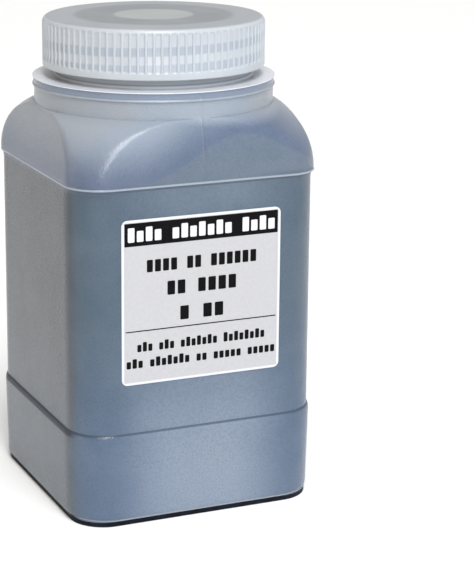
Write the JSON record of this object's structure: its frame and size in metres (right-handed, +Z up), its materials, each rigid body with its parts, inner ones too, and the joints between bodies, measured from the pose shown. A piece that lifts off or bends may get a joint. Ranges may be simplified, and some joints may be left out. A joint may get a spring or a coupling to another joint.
{
  "type": "screw-capped jar of rock tumbling grit",
  "caption": "Square wide-mouth jar of milky plastic with a ribbed screw cap, a printed label and a fill of dark tumbling grit.",
  "frame": {"origin": "on the floor, under the middle of the jar's base", "axes": "+Z up along the jar's axis, -Y towards the labelled front, +X to the right of the front"},
  "size_m": [0.0798, 0.0798, 0.1474],
  "materials": {
    "jar_plastic": "translucent milky blow-moulded plastic with dark grit behind it, satin",
    "cap_plastic": "translucent milky injection-moulded plastic, satin gloss",
    "liner_foam": "closed-cell foam, matt",
    "label_paper": "coated paper sticker, satin",
    "grit": "loose angular mineral grains, dark with bright glints"
  },
  "bodies": {
    "jar": {"jar": "jar_plastic", "front_label": "label_paper", "grit_fill": "grit"},
    "liner": {"cap_liner": "liner_foam"},
    "cap": {"screw_cap": "cap_plastic"}
  },
  "joints": [
    {"name": "cap_lift", "type": "slide", "parent": "jar", "child": "liner", "axis": [0, 0, 1], "range_m": [0, 0.02033]},
    {"name": "cap_turn", "type": "hinge", "parent": "liner", "child": "cap", "pos_m": [0, 0, 0.1324], "axis": [0, 0, 1], "range_deg": [0, 1440]}
  ],
  "couplings": [
    {"joint": "cap_lift", "follows": "cap_turn", "m_per_rad": 0.00080851}
  ]
}
